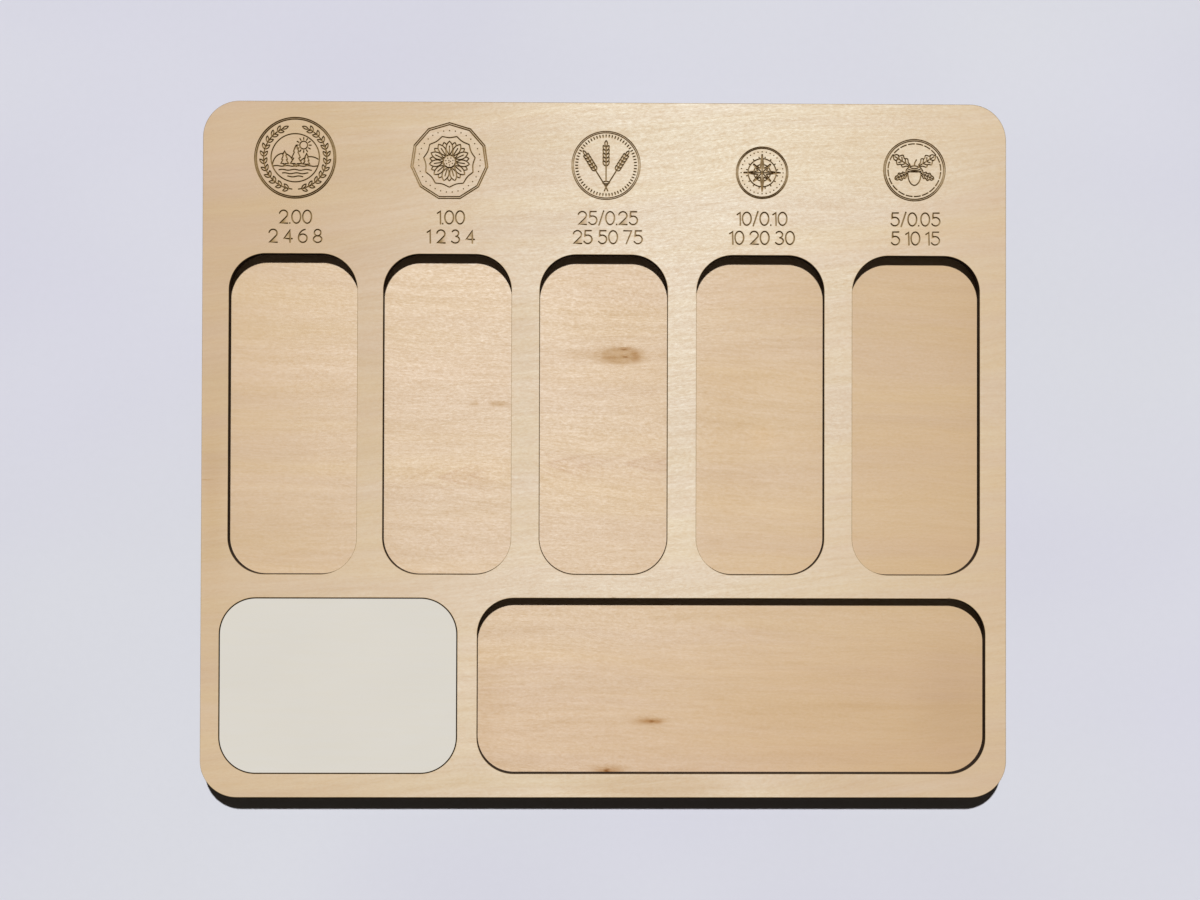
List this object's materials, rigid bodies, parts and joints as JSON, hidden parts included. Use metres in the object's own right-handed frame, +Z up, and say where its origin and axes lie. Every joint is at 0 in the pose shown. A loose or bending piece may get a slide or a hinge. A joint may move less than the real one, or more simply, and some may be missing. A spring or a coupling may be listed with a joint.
{
  "type": "coin counting board",
  "caption": "Flat board of two glued plywood sheets with long wells for sorted coins under engraved coin outlines, a wide tray and a flush white writing panel.",
  "frame": {"origin": "middle of the underside of the board, where it lies on the table", "axes": "+X along the row of wells, +Y towards the edge with the coin outlines, +Z up out of the engraved face"},
  "size_m": [0.2794, 0.2414, 0.006],
  "materials": {
    "base_plywood": "sanded, unvarnished, pale and slightly pink",
    "face_plywood": "sanded, unvarnished, with laser-burnt edges and engraving",
    "white_coating": "smooth off-white dry-erase coating"
  },
  "bodies": {
    "root": {"base_sheet": "base_plywood", "face_sheet": "face_plywood", "writing_panel": "white_coating"}
  },
  "joints": []
}
